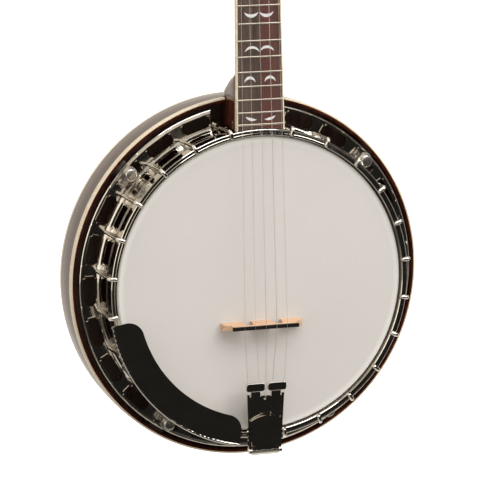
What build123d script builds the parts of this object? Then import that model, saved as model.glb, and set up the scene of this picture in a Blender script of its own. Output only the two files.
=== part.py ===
"""Five-string resonator banjo, built as an assembly of separate pieces. Units are millimetres.

The instrument stands upright: +Z runs up the neck, the playing face looks along -Y, and +X is the
treble side. The origin is the centre of the resonator's flat back, on the axis of the pot.
Depths are measured from the front face of the drum head, growing towards the back.
Angles around the pot are measured from the neck, so 0 is up and 180 is the tail.
"""
import math
import os
from build123d import *

# ---- driving dimensions ------------------------------------------------------------------
HEAD_TO_BACK = 88.0          # front of the drum head to the resonator's flat back
HEAD_R = 139.7               # drum head, nominally 11 inches across
HEAD_T = 0.4
SCALE = 666.75               # the string length the frets are spaced for, 26 1/4 inches
BRIDGE_Z = -38.0
BRIDGE_SETBACK = 1.65        # the bridge stands this much beyond the scale, for true pitch
BRIDGE_H = 15.9
STRING_PITCH = 10.5          # string spacing at the bridge
NECK_TILT = 3.0              # degrees the neck leans back from the plane of the head
BOARD_DROP = 0.5             # fretboard surface behind the head at the last fret
BOARD_T = 5.2
LAST_FRET = 22
NUT_T = 4.6
HEADSTOCK_TILT = 11.0
HEADSTOCK_L = 168.0
HEADSTOCK_T = 14.5
OVERLAY_T = 1.6

HOOK_COUNT_SIDE = 12         # bracket hooks on each side of the neck
HOOK_FIRST = 11.9            # degrees from the neck to the first hook
HOOK_STEP = 14.45
HOOK_R = 1.85
HOOP_IN, HOOP_OUT = 141.0, 146.6
HOOP_TOP, HOOP_LOW = -3.5, 9.0
HOOK_CIRCLE = HOOP_OUT + HOOK_R + 0.45

RIM_IN, RIM_OUT, RIM_LEDGE_R = 120.5, 136.8, 140.5
RIM_TOP, RIM_LEDGE, RIM_LOW = 20.0, 43.0, 70.0
SKIRT_R = 139.2              # outside of the tone ring
SKIRT_LOW = 31.0
FLANGE_OUT = 164.8
COLLAR_R = 142.75            # bore of the flange's cove round the tone ring
FLANGE_TOP, FLANGE_EDGE, FLANGE_LOW = 37.0, 38.2, 40.3   # its face slopes back towards the edge
OPENING_IN, OPENING_OUT = 149.8, 160.9
LIP_W, LIP_H = 0.75, 1.0     # raised lip round each opening
OPENING_HALF = 5.15          # degrees

WALL_IN, WALL_OUT = 168.2, 172.4
WALL_FRONT, WALL_BACK = 40.8, 80.1
BINDING_T, BINDING_H = 1.7, 5.6
BACK_T = 4.5
BACK_FLAT_R = 120.0
NOTCH_HALF = 20.9            # half the gap in the resonator wall that the heel drops into
HEEL_LOW = 50.0              # underside of the heel outside the resonator
FOOT_LOW = 60.6              # underside of the heel's foot inside the resonator
HEEL_CAP_T = 2.4

THUMB_ANGLES = (-48.0, 48.0, 149.2, -149.2)
THUMB_CIRCLE = 157.2
THUMB_HEAD_R, THUMB_FACE_R = 7.4, 5.3
THUMB_TOP, THUMB_LOW = 27.6, 35.6
THUMB_SHAFT_R = 2.4

ROD_DEPTHS = (48.0, 56.5)    # the two coordinator rods inside the pot
ROD_R = 2.9
LAG_R = 2.6

RUN_GAP = 0.05               # radial running clearance of shafts

NECK_TAN = math.tan(math.radians(NECK_TILT))
LAST_FRET_FROM_BRIDGE = SCALE * 2 ** (-LAST_FRET / 12)
LAST_FRET_Z = BRIDGE_Z + BRIDGE_SETBACK + LAST_FRET_FROM_BRIDGE
NUT_S = SCALE - LAST_FRET_FROM_BRIDGE        # along the neck, from the last fret to the nut

os.makedirs("parts", exist_ok=True)


# ---- helpers -------------------------------------------------------------------------------
def at(depth):
    """Row Y of a depth behind the drum head."""
    return depth - HEAD_TO_BACK


def spun(*points):
    """A solid of revolution about the pot's axis, from (radius, depth) corners."""
    outline = Polyline(*[(r, at(d)) for r, d in points], close=True)
    return revolve(make_face(outline), axis=Axis.Y)


def annulus(r_in, r_out, d_front, d_back):
    return spun((r_in, d_front), (r_out, d_front), (r_out, d_back), (r_in, d_back))


def around(angle, radius=0.0, depth=0.0):
    """A place on the pot: local +Z points outwards, +Y towards the back, +X clockwise from the front."""
    return Pos(0, at(depth), 0) * Rot(0, angle, 0) * Pos(0, 0, radius)


def rod_y(radius, d_front, d_back):
    """A cylinder along Y between two depths, on the local axis."""
    return Pos(0, (d_front + d_back) / 2, 0) * Rot(90, 0, 0) * Cylinder(radius, d_back - d_front)


def tube_between(start, end, radius):
    """A round bar from one point to another."""
    a, b = Vector(*start), Vector(*end)
    plane = Plane(origin=a, z_dir=(b - a))
    return extrude(plane * Circle(radius), (b - a).length)


def block(x0, x1, y0, y1, z0, z1):
    return Pos((x0 + x1) / 2, (y0 + y1) / 2, (z0 + z1) / 2) * Box(x1 - x0, y1 - y0, z1 - z0)


def fused(shapes):
    shapes = list(shapes)
    whole = shapes[0]
    return whole.fuse(*shapes[1:]) if len(shapes) > 1 else whole


def solids_of(shape):
    if isinstance(shape, list):
        return [solid for item in shape for solid in solids_of(item)]
    return list(shape.solids())


def common(first, second):
    """The volume two shapes share, as one shape."""
    shared = solids_of(first.intersect(second))
    return shared[0] if len(shared) == 1 else Compound(children=shared)


def save(name, *shapes):
    """Writes one node: each shape's solids stay separate."""
    parts = [s for shape in shapes for s in solids_of(shape)]
    export_step(parts[0] if len(parts) == 1 else Compound(children=parts), f"parts/{name}.step")


HOOK_ANGLES = [side * (HOOK_FIRST + HOOK_STEP * k) for side in (1, -1) for k in range(HOOK_COUNT_SIDE)]
OPENING_ANGLES = [
    side * (HOOK_FIRST + HOOK_STEP * (k + 0.5)) for side in (1, -1) for k in range(HOOK_COUNT_SIDE - 1)
]


# ---- the pot -------------------------------------------------------------------------------
def head_membrane():
    """Stretched film with a rounded crown."""
    r_in = HEAD_R - HEAD_T
    return spun(
        (0, 0), (HEAD_R - 1.6, 0), (HEAD_R - 0.5, 0.5), (HEAD_R, 1.8),
        (r_in, 1.8), (r_in - 0.5, 0.85), (r_in - 1.3, HEAD_T), (0, HEAD_T),
    )


def head_collar():
    """The film's edge, moulded down over the tone ring into its metal hoop."""
    return annulus(HEAD_R - HEAD_T, HEAD_R, 1.8, 12.0)


def flesh_hoop():
    """Metal hoop crimped round the film's edge."""
    return annulus(HEAD_R, 143.4, HOOP_LOW, HOOP_LOW + 4.0)


def tension_hoop():
    """Heavy hoop that presses the flesh hoop down, notched on top for each hook."""
    hoop = spun(
        (HOOP_IN + 0.5, HOOP_TOP), (143.2, HOOP_TOP), (143.5, HOOP_TOP + 0.9), (145.0, HOOP_TOP + 0.9),
        (145.3, HOOP_TOP + 0.3), (HOOP_OUT - 0.5, HOOP_TOP + 0.3), (HOOP_OUT, HOOP_TOP + 0.8),
        (HOOP_OUT, HOOP_LOW), (HOOP_IN, HOOP_LOW), (HOOP_IN, HOOP_TOP + 0.5),
    )
    notch_depth = 2.2
    notch = [
        around(a, (HOOP_IN + HOOP_OUT) / 2, HOOP_TOP + notch_depth / 2 - 0.5)
        * Box(2 * HOOK_R + 0.3, notch_depth + 1.0, 6.4)
        for a in HOOK_ANGLES
    ]
    return hoop.cut(*notch)


def tone_ring():
    """Cast ring with a skirt outside, a sloping top and an inner wall."""
    return spun(
        (137.6, 0.95), (138.6, 2.0), (SKIRT_R, 3.2), (SKIRT_R, 16.0), (142.6, 17.6),
        (142.6, SKIRT_LOW - 0.6), (142.0, SKIRT_LOW), (137.0, SKIRT_LOW), (137.0, 18.0), (134.0, 14.0),
        (134.0, 5.2), (126.5, 5.2), (124.2, 8.2), (124.2, 19.8), (121.0, 19.8), (121.0, 8.0), (125.0, 3.4),
        (132.0, 0.9),
    )


def rim_shell():
    """Laminated wooden rim: the tone ring sits on top, the flange on the outer ledge."""
    return spun(
        (RIM_IN, RIM_TOP), (RIM_OUT, RIM_TOP), (RIM_OUT, RIM_LEDGE), (RIM_LEDGE_R, RIM_LEDGE),
        (RIM_LEDGE_R, RIM_LOW - 1.5), (RIM_LEDGE_R - 1.5, RIM_LOW), (RIM_IN + 1.5, RIM_LOW), (RIM_IN, RIM_LOW - 1.5),
    )


def opening_prism(mid_angle, grow=0.0):
    """A sound opening: a long plaque shape whose four corners are bitten out in small arcs."""
    bite = 2.5
    mid_r = (OPENING_IN + OPENING_OUT) / 2
    length = 2 * math.radians(OPENING_HALF) * mid_r
    width = OPENING_OUT - OPENING_IN
    outline = Rectangle(length + 2 * grow, width + 2 * grow)
    for sx in (-1, 1):
        for sz in (-1, 1):
            outline -= Pos(sx * length / 2, sz * width / 2) * Circle(bite - grow)
    prism = extrude(outline, 12, both=True)
    return around(mid_angle, mid_r, FLANGE_TOP) * Rot(90, 0, 0) * prism


def flange():
    """One cast piece: an inner coved ring that sits on the rim, and a pierced plate with a beaded edge."""
    ring = spun(
        (RIM_OUT + 0.1, 31.2), (COLLAR_R, 31.2), (COLLAR_R, 21.5), (143.9, 21.5), (144.3, 25.5), (145.0, 29.0),
        (145.7, 31.8), (147.2, 34.9), (149.0, FLANGE_TOP), (161.6, FLANGE_EDGE), (163.4, 38.5), (163.7, 37.8),
        (164.3, 37.6), (FLANGE_OUT, 38.1), (FLANGE_OUT, 40.6), (163.6, 41.6), (162.2, FLANGE_LOW),
        (144.0, FLANGE_LOW), (144.0, RIM_LEDGE), (RIM_OUT + 0.1, RIM_LEDGE),
    )
    skin = spun(
        (148.4, FLANGE_TOP - LIP_H), (162.2, FLANGE_EDGE - LIP_H), (162.2, FLANGE_LOW - 0.2),
        (148.4, FLANGE_LOW - 0.2),
    )
    lips = [common(opening_prism(a, LIP_W), skin) for a in OPENING_ANGLES]
    cuts = [opening_prism(a) for a in OPENING_ANGLES]
    cuts += [around(a, HOOK_CIRCLE, 0) * rod_y(HOOK_R + 0.25, 30, 46) for a in HOOK_ANGLES]
    neck_gap = block(-36.5, 36.5, at(30), at(46), 120, 180).cut(annulus(100, 146.4, 20, 60))
    tail_gap = block(-15.0, 15.0, at(30), at(46), -154.5, -146.0)
    return ring.fuse(*lips).cut(*cuts, neck_gap, tail_gap)


def hook():
    """A round hook: threaded shank outside the hoop, bent over its top."""
    top = HOOP_TOP + 2.2 - HOOK_R - 0.05
    bend = 2.6
    inner = -(HOOK_CIRCLE - HOOP_IN - 2.2)
    path = FilletPolyline((0, 54.0, 0), (0, top, 0), (0, top, inner), radius=bend)
    rod = sweep(Plane(origin=path @ 0, z_dir=path % 0) * Circle(HOOK_R), path)
    tip = Pos(0, top, inner) * Sphere(HOOK_R)
    return rod.fuse(tip)


def bracket_hooks():
    return [around(a, HOOK_CIRCLE, 0) * hook() for a in HOOK_ANGLES]


def bracket_nuts():
    """Tall hexagon nuts under the flange."""
    across = 7.4
    nut = Rot(90, 0, 0) * extrude(RegularPolygon(across / 2, 6, major_radius=False), 11.0)
    nut = Pos(0, 11.0, 0) * nut
    nut = nut.cut(rod_y(HOOK_R + 0.02, -1, 12))
    return [around(a, HOOK_CIRCLE, FLANGE_LOW) * nut for a in HOOK_ANGLES]


# ---- the resonator -------------------------------------------------------------------------
def heel_notch(extra=0.0):
    half = NOTCH_HALF + extra
    return block(-half, half, at(WALL_FRONT - 5), at(HEEL_LOW + 0.8), 150, 180)


def lug_screw_places():
    return [around(a + side * 2.4, WALL_IN, 64.0) for a in THUMB_ANGLES for side in (-1, 1)]


def lug_screw():
    """Wood screw, pointing outwards, its head inside the lug's face."""
    return Pos(0, 0, -1.6) * Cylinder(1.3, 9.0) + Pos(0, 0, -6.9) * Cylinder(2.4, 1.6)


def resonator_wall():
    outline = [
        (WALL_IN, WALL_FRONT), (WALL_OUT - BINDING_T, WALL_FRONT), (WALL_OUT - BINDING_T, WALL_FRONT + BINDING_H),
        (WALL_OUT, WALL_FRONT + BINDING_H), (WALL_OUT, 58.0), (172.1, 65.0), (171.5, 72.0), (170.9, 78.4),
        (169.4, 78.4), (169.4, WALL_BACK), (WALL_IN, WALL_BACK),
    ]
    wall = spun(*outline)
    screws = [place * lug_screw() for place in lug_screw_places()]
    return wall.cut(heel_notch(), *screws)


def front_binding():
    ring = spun(
        (WALL_OUT - BINDING_T, WALL_FRONT), (WALL_OUT - 0.8, WALL_FRONT), (WALL_OUT, WALL_FRONT + 0.8),
        (WALL_OUT, WALL_FRONT + BINDING_H), (WALL_OUT - BINDING_T, WALL_FRONT + BINDING_H),
    )
    return ring.cut(heel_notch())


def back_binding():
    return spun((169.4, 78.4), (170.9, 78.4), (170.8, 82.6), (170.3, 84.0), (169.4, 84.6))


def resonator_back():
    """Pressed back: flat where it rests, curving forward to its edge."""
    outer = [(0, 88.0), (BACK_FLAT_R, 88.0), (140.0, 87.45), (156.0, 86.2), (169.4, 84.6)]
    inner = [(r, d - BACK_T) for r, d in reversed(outer)]
    return spun(*outer, *inner)


def resonator_lug(mid_angle):
    """Metal lug on the wall's inside, threaded for the thumbscrew."""
    body = block(-8.0, 8.0, 55.0, 72.0, 151.0, WALL_IN + 1)
    body = common(Rot(0, mid_angle, 0) * Pos(0, at(0), 0) * body, annulus(100, WALL_IN, 50, 80))
    hole = around(mid_angle, THUMB_CIRCLE, 0) * rod_y(THUMB_SHAFT_R + RUN_GAP, 50, 80)
    screws = [place * lug_screw() for place in lug_screw_places()]
    access = [place * Pos(0, 0, -14.0) * Cylinder(2.5, 12.7) for place in lug_screw_places()]
    return body.cut(hole, *screws, *access)


def thumb_bracket(mid_angle):
    """Plate under the flange that holds the thumbscrew, with a hollow square stud beside it."""
    offset = 10.4 if mid_angle == THUMB_ANGLES[3] else -10.4
    low = FLANGE_LOW + 2.6
    plate = block(-7.0, 7.0, FLANGE_LOW + 0.02, low, -6.6, 4.2)
    arm = block(offset - 4.0, offset + 4.0, FLANGE_LOW + 0.02, low, -5.6, 2.6)
    stud = block(offset - 2.6, offset + 2.6, 31.4, low, -4.2, 1.0)
    hollow = block(offset - 1.8, offset + 1.8, 30, 35.5, -3.4, 0.2)
    pin = Pos(offset, 0, -1.6) * rod_y(0.9, 32.6, 36)
    shape = plate.fuse(arm, stud).cut(hollow).fuse(pin)
    return around(mid_angle, THUMB_CIRCLE, 0) * shape.cut(rod_y(THUMB_SHAFT_R + RUN_GAP, 30, 60))


def thumbscrew(mid_angle):
    """Spool-headed screw: a small face for the thumb in front of a wide rimmed disc."""
    outline = [
        (0, THUMB_TOP), (3.0, THUMB_TOP + 0.15), (4.7, THUMB_TOP + 0.4), (THUMB_FACE_R, THUMB_TOP + 0.9),
        (THUMB_FACE_R, 30.2), (4.2, 31.2),
        (4.0, 33.8), (5.9, 34.4), (6.6, 33.2), (THUMB_HEAD_R, 33.4), (THUMB_HEAD_R, THUMB_LOW),
        (THUMB_SHAFT_R, THUMB_LOW), (THUMB_SHAFT_R, 69.0), (0, 69.0),
    ]
    screw = revolve(make_face(Polyline(*outline, close=True)), axis=Axis.Y)
    grips = [
        Rot(0, k * 15.0, 0) * Pos(0, 0, THUMB_HEAD_R + 0.2) * rod_y(0.45, THUMB_TOP + 4, THUMB_LOW + 1)
        for k in range(24)
    ]
    return around(mid_angle, THUMB_CIRCLE, 0) * screw.cut(*grips)


# ---- the neck ------------------------------------------------------------------------------
# Local frame of the neck: origin on the fretboard's surface at the last fret, +Z up the neck,
# +Y into the wood. The headstock's frame starts at the nut, on the wood's front face.
NECK = Pos(0, at(BOARD_DROP), LAST_FRET_Z) * Rot(-NECK_TILT, 0, 0)
HEADSTOCK = NECK * Pos(0, BOARD_T, NUT_S + NUT_T) * Rot(-HEADSTOCK_TILT, 0, 0)
HALF_AT_LAST_FRET, HALF_AT_NUT = 23.45, 17.2
BASS_NUT_HALF, BASS_UPPER_HALF = 15.15, 15.9
BINDING_W = 1.3
BOARD_END_R = 147.0


def fret_s(number):
    """Distance of a fret up the neck from the last fret."""
    return SCALE * 2 ** (-number / 12) - LAST_FRET_FROM_BRIDGE


FIFTH_S = fret_s(5)
STEP_S = FIFTH_S + 9.5
PIP_S = FIFTH_S + 7.6
PEG_S = FIFTH_S + 27.0
PEG_T = 8.2


def half_width(s):
    return HALF_AT_LAST_FRET + (HALF_AT_NUT - HALF_AT_LAST_FRET) * s / NUT_S


def bass_half(s):
    """Bass edge above the fifth-string step, where the neck is narrower."""
    return BASS_UPPER_HALF + (BASS_NUT_HALF - BASS_UPPER_HALF) * (s - STEP_S) / (NUT_S - STEP_S)


def board_face(inset, extra=0.0, top=NUT_S):
    """Outline of the fretboard in its own plane, from below the last fret to the nut."""
    low, g = -15.0, inset - extra
    step = STEP_S - inset
    lower, upper = half_width(STEP_S) - g, bass_half(STEP_S) - g
    edges = [
        Line((half_width(low) - g, low), (half_width(top) - g, top)),
        Line((half_width(top) - g, top), (-bass_half(top) + g, top)),
        Line((-bass_half(top) + g, top), (-upper, step + 2.0)),
        Line((-upper, step + 2.0), (-lower + 1.6, step + 0.8)),
        Line((-lower + 1.6, step + 0.8), (-lower, step - 1.0)),
        Line((-lower, step - 1.0), (-half_width(low) + g, low)),
        Line((-half_width(low) + g, low), (half_width(low) - g, low)),
    ]
    return make_face(Wire(edges))


def board_slab(inset, t0, t1, extra=0.0, top=NUT_S):
    """The outline given thickness, t0 to t1 behind the playing surface."""
    face = Plane(origin=(0, t1, 0), x_dir=(1, 0, 0), z_dir=(0, -1, 0)) * board_face(inset, extra, top)
    return extrude(face, t1 - t0)


def pot_clear(radius):
    return annulus(0, radius, -30, 64.0)


def crescent(width, rise, thick, x, s, up=1):
    """Two arcs between the same tips; up=1 bows down the neck, up=-1 bows up it."""
    outer = ThreePointArc((-width / 2, 0), (0, -rise * up), (width / 2, 0))
    inner = ThreePointArc((width / 2, 0), (0, (thick - rise) * up), (-width / 2, 0))
    return Pos(x, s) * make_face(Wire([outer, inner]))


def wing(side, s):
    """A small wing, full at its inner end and drawn out thin and upwards at its outer end."""
    low = Spline((3.6 * side, -0.9), (8.6 * side, -2.0), (14.6 * side, 2.2), tangents=[(side, -0.5), (side * 0.5, 1)])
    high = Spline((14.6 * side, 2.2), (9.4 * side, 0.9), (3.6 * side, -0.9), tangents=[(-side, -0.4), (-side, -0.2)])
    return Pos(0, s) * make_face(Wire([low, high]))


def mid_fret(number):
    return (fret_s(number) + fret_s(number - 1)) / 2


def inlay_shapes():
    """Curved pearl figures between the frets, as flat faces placed (x, s) on the board."""
    faces = [wing(side, mid_fret(22)) for side in (-1, 1)]
    pairs = [(19, 10.6, 5.8, 2.6, 9.9, -1), (17, 14.4, 5.6, 2.5, 7.25, -1), (15, 14.0, 5.2, 3.0, 7.4, 1),
             (10, 12.0, 4.2, 2.3, 6.9, -1)]
    for number, width, rise, thick, shift, up in pairs:
        for side in (-1, 1):
            faces.append(crescent(width, rise, thick, side * shift, mid_fret(number) + up * rise / 2, up))
    for number, width in ((12, 13.0), (7, 11.0), (5, 11.0), (3, 10.0), (1, 9.0)):
        centre = 0.0 if number > 5 else 0.6
        for up in (-1, 1):
            faces.append(crescent(width, 4.4, 2.4, centre, mid_fret(number) - up * 0.6, up))
    return faces


def inlays():
    pieces = []
    for face in inlay_shapes():
        placed = Plane(origin=(0, 0.35, 0), x_dir=(1, 0, 0), z_dir=(0, -1, 0)) * face
        pieces.append(NECK * extrude(placed, 0.35))
    return pieces


def pip_hole():
    return NECK * Pos(-16.3, 2.5, PIP_S) * Rot(90, 0, 0) * Cylinder(1.2, 5.001)


def fretboard():
    board = NECK * board_slab(BINDING_W, 0, BOARD_T)
    return board.cut(pot_clear(BOARD_END_R), *inlays(), pip_hole())


def fretboard_binding():
    full = NECK * board_slab(0, 0, BOARD_T)
    inner = NECK * board_slab(BINDING_W, -1, BOARD_T + 1, top=NUT_S + 1)
    strips = full.cut(pot_clear(BOARD_END_R))
    return strips.cut(inner, pip_hole())


def frets():
    pieces = []
    for number in range(1, LAST_FRET + 1):
        s = fret_s(number)
        right = half_width(s) - BINDING_W
        left = right if s < STEP_S else bass_half(s) - BINDING_W
        wire = Pos((right - left) / 2, 0.2, s) * Rot(0, 90, 0) * Cylinder(1.0, right + left)
        pieces.append(NECK * wire.cut(block(-60, 60, 0, 5, s - 5, s + 5)))
    return pieces


STRING_X = [-16.3, -10.2, -2.2, 5.8, 13.8]
NUT_TOP_T = -2.0


def string_nut():
    nut = block(-BASS_NUT_HALF, HALF_AT_NUT, NUT_TOP_T - 0.3, BOARD_T, NUT_S, NUT_S + NUT_T)
    slots = [block(x - 0.4, x + 0.4, NUT_TOP_T - 1, NUT_TOP_T + 1.6, NUT_S - 1, NUT_S + 9) for x in STRING_X[1:]]
    return NECK * nut.cut(*slots)


def fifth_string_nut():
    """Small grooved pip standing in the board."""
    pip = Pos(-16.3, 1.6, PIP_S) * Rot(90, 0, 0) * Cylinder(1.2, 6.8)
    slot = block(-16.6, -16.0, -3, -0.7, PIP_S - 3, PIP_S + 3)
    return NECK * pip.cut(slot)


def d_section(s, left, right, deep):
    """Rounded cross-section of the neck, flat against the fretboard."""
    mid, t = (right - left) / 2, BOARD_T
    plane = Plane(origin=(0, 0, s), x_dir=(1, 0, 0), z_dir=(0, 0, -1))
    flat = Line((-left, -t), (right, -t))
    curve = Spline((right, -t), (mid, -deep), (-left, -t), tangents=[(-0.45, -1), (-0.45, 1)])
    return plane * make_face(Wire([flat, curve]))


def heel_section(depth, half, nose):
    """Plan of the heel at one depth: straight sides and a rounded nose up the neck."""
    turn = nose - 10.0
    plane = Plane(origin=(0, at(depth), 0), x_dir=(1, 0, 0), z_dir=(0, -1, 0))
    sides = Polyline((half, turn), (half, 120), (-half, 120), (-half, turn))
    tip = Spline((-half, turn), (0, nose), (half, turn), tangents=[(0, 1), (0, -1)])
    return plane * make_face(Wire([*sides.edges(), tip]))


HEEL_ROWS = [
    (6.0, 23.6, 205.0), (16.0, 23.2, 197.0), (26.0, 22.0, 193.5), (35.0, 20.8, 190.0), (47.6, 19.5, 182.5),
]


def heel_body():
    """The heel outside the resonator, and the foot that reaches in to the rim."""
    outside = loft([heel_section(*row) for row in HEEL_ROWS])
    foot = block(-18.5, 18.5, at(44.0), at(FOOT_LOW), 120, 165.8)
    return outside.fuse(foot)


def headstock_face(inset=0.0):
    """Symmetric headstock outline, flared and then drawn in to a rounded crown."""
    plane = Plane(origin=(0, HEADSTOCK_T, 0), x_dir=(1, 0, 0), z_dir=(0, -1, 0))
    length = HEADSTOCK_L - inset
    half = [(16.0, 0.0), (17.5, 10.0), (33.0, 34.0), (38.5, 56.0), (34.0, 92.0), (35.5, 126.0), (26.0, 152.0)]
    half = [(x - inset, s) for x, s in half]
    right = Spline((0, length), *reversed(half), tangents=[(1, 0), (0, -1)])
    left = Spline((0, length), *[(-x, s) for x, s in reversed(half)], tangents=[(-1, 0), (0, -1)])
    base = Line((-half[0][0], 0), (half[0][0], 0))
    return plane * make_face(Wire([right, left, base]))


TUNERS = [(-20.5, 46.0), (20.5, 46.0), (-19.5, 112.0), (19.5, 112.0)]
POST_R = 2.9
BUSH_R = 4.6
HOUSING_R = 8.2


def tuner_place(x, s):
    """Local frame of a tuner: +Y runs back through the headstock from its front face."""
    return HEADSTOCK * Pos(x, 0, s)


def neck():
    """Neck, heel and headstock carved from one length of maple."""
    shaft = loft([
        d_section(-16, half_width(-16), half_width(-16), 25.0),
        d_section(STEP_S - 1.0, half_width(STEP_S), half_width(STEP_S), 20.9),
        d_section(STEP_S + 2.0, bass_half(STEP_S), half_width(STEP_S), 20.8),
        d_section(NUT_S + 3, BASS_NUT_HALF, HALF_AT_NUT, 19.6),
    ], ruled=True)
    head_block = extrude(headstock_face(), HEADSTOCK_T)
    throat = loft([
        NECK * d_section(NUT_S + 3, BASS_NUT_HALF, HALF_AT_NUT, 19.6),
        HEADSTOCK * Pos(0, 4.5 - BOARD_T, 34.0) * d_section(0, 9.0, 9.0, 12.0),
    ])
    front = HEADSTOCK * block(-70, 70, -30, 0, 0.01, 200)
    shape = (NECK * shaft).fuse(heel_body(), HEADSTOCK * head_block, throat)
    above_board = NECK * block(-70, 70, -20, BOARD_T, -80, NUT_S + NUT_T)
    cutters = [front, above_board, annulus(0, 147.2, -30, 46.0), annulus(0, RIM_LEDGE_R, 45, 66)]
    cutters += [HEADSTOCK * Pos(x, HEADSTOCK_T / 2, s) * Rot(90, 0, 0) * Cylinder(BUSH_R, 30) for x, s in TUNERS]
    cutters += [Pos(0, at(d), 130) * Cylinder(LAG_R, 70) for d in ROD_DEPTHS]
    cutters.append(NECK * Pos(0, 11.0, 250) * Cylinder(2.4, 420))
    cutters.append(NECK * Pos(-12.0, PEG_T, PEG_S) * Rot(0, 90, 0) * Cylinder(2.2 + RUN_GAP, 17.0))
    cutters.append(pip_hole())
    return shape.cut(*cutters)


def heel_cap():
    """Thin plate on the heel's underside, outside the resonator."""
    cap = loft([heel_section(HEEL_LOW - HEEL_CAP_T, 19.5, 182.5), heel_section(HEEL_LOW, 19.3, 182.1)])
    return cap.cut(block(-30, 30, at(40), at(60), 100, 165.9))


def headstock_veneer():
    face = Pos(0, -HEADSTOCK_T, 0) * headstock_face()
    veneer = extrude(face, OVERLAY_T)
    holes = [Pos(x, 0, s) * Rot(90, 0, 0) * Cylinder(BUSH_R, 8) for x, s in TUNERS]
    return HEADSTOCK * veneer.cut(*holes)


def truss_rod():
    return NECK * Pos(0, 11.0, 250) * Cylinder(2.4, 420)


def truss_rod_cover():
    """Bell-shaped plate with two small screws."""
    plane = Plane(origin=(0, -OVERLAY_T, 0), x_dir=(1, 0, 0), z_dir=(0, -1, 0))
    right = Spline((10.0, 3.0), (8.6, 12.0), (5.0, 24.0), (0, 30.0), tangents=[(0, 1), (-1, 0)])
    left = Spline((0, 30.0), (-5.0, 24.0), (-8.6, 12.0), (-10.0, 3.0), tangents=[(-1, 0), (0, -1)])
    face = plane * make_face(Wire([right, left, Line((-10.0, 3.0), (10.0, 3.0))]))
    plate = extrude(face, 1.6)
    screws = [Pos(0, -OVERLAY_T - 1.6, s) * Sphere(1.7) for s in (7.0, 24.5)]
    below = block(-12, 12, -OVERLAY_T - 1.0, 5, 0, 40)
    return HEADSTOCK * plate.fuse(*[screw.cut(below) for screw in screws])


def tuner_bushing():
    """Threaded sleeve with a washer and a hexagon collar on the headstock's face."""
    front = -OVERLAY_T
    washer = rod_y(6.4, front - 0.8, front)
    collar = Pos(0, front - 0.8, 0) * Rot(90, 0, 0) * extrude(RegularPolygon(5.2, 6, major_radius=False), 1.8)
    sleeve = rod_y(BUSH_R, front, HEADSTOCK_T)
    return washer.fuse(collar, sleeve).cut(rod_y(POST_R + RUN_GAP, -8, 20))


def tuner_housing():
    """Closed drum behind the headstock that holds the reduction gears."""
    t = HEADSTOCK_T
    outline = Polyline((0, t), (HOUSING_R, t), (HOUSING_R, t + 9), (HOUSING_R - 1.2, t + 10.6), (5.2, t + 12.6),
                       (4.6, t + 14.6), (0, t + 14.6), close=True)
    drum = revolve(make_face(outline), axis=Axis.Y)
    room = rod_y(HOUSING_R - 1.4, t + 1.6, t + 9.4)
    bores = rod_y(POST_R + RUN_GAP, t - 1, t + 2).fuse(rod_y(2.4 + RUN_GAP, t + 9, t + 16))
    return drum.cut(room, bores)


def tuner_post():
    """String post with a waist, a hole for the string, three turns of string and a gear disc."""
    shaft = rod_y(POST_R, -15.0, HEADSTOCK_T + 3.2).cut(
        Pos(0, -9.4, 0) * Rot(90, 0, 0) * Torus(POST_R + 2.4, 3.2)
    )
    disc = rod_y(HOUSING_R - 1.9, HEADSTOCK_T + 2.0, HEADSTOCK_T + 4.4)
    return shaft.cut(Pos(0, -9.4, 0) * Rot(0, 90, 0) * Cylinder(0.6, 12)).fuse(disc)


def string_turns():
    """The turns of string on a post."""
    return [Pos(0, -8.1 - 0.62 * k, 0) * Rot(90, 0, 0) * Torus(2.62, 0.3) for k in range(3)]


def tuner_button():
    """Shaft with an oval button for the fingers, and the small gear that drives the post."""
    t = HEADSTOCK_T
    shaft = rod_y(2.4, t + 5.6, t + 22.0)
    gear = rod_y(4.0, t + 5.2, t + 8.6)
    collar = rod_y(3.6, t + 15.0, t + 18.2)
    body = Pos(0, t + 26.0, 0) * Rot(0, 0, 0) * extrude(Plane.XY * Ellipse(9.6, 8.4), 3.2, both=True)
    body = fillet(body.edges(), 2.2)
    neck_in = rod_y(3.1, t + 17.8, t + 21.0)
    return shaft.fuse(gear, collar, neck_in, body)


def fifth_peg():
    """Fifth-string peg through the neck's side: post, collar and oval button."""
    shaft = Pos(-12.4, 0, 0) * Rot(0, 90, 0) * Cylinder(2.2, 16.0)
    post = Pos(-20.0, 0, 0) * Rot(0, 90, 0) * Cylinder(2.6, 7.0)
    post = post.cut(Pos(-20.0, 0, 0) * Rot(0, 90, 0) * Torus(4.6, 2.6))
    collar = Pos(-25.0, 0, 0) * Rot(0, 90, 0) * Cylinder(4.4, 4.2)
    stem = Pos(-29.0, 0, 0) * Rot(0, 90, 0) * Cylinder(2.6, 6.0)
    face = Plane.XY * Ellipse(8.4, 9.6)
    button = fillet(extrude(face, 3.2, both=True).edges(), 2.2)
    return NECK * Pos(0, PEG_T, PEG_S) * shaft.fuse(post, collar, stem, Pos(-37.5, 0, 0) * button)


# ---- bridge, strings, tailpiece, armrest ---------------------------------------------------
def bridge_profile(points):
    plane = Plane(origin=(0, at(0), BRIDGE_Z - 4), x_dir=(1, 0, 0), z_dir=(0, 0, 1))
    return plane * make_face(Wire(points))


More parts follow.
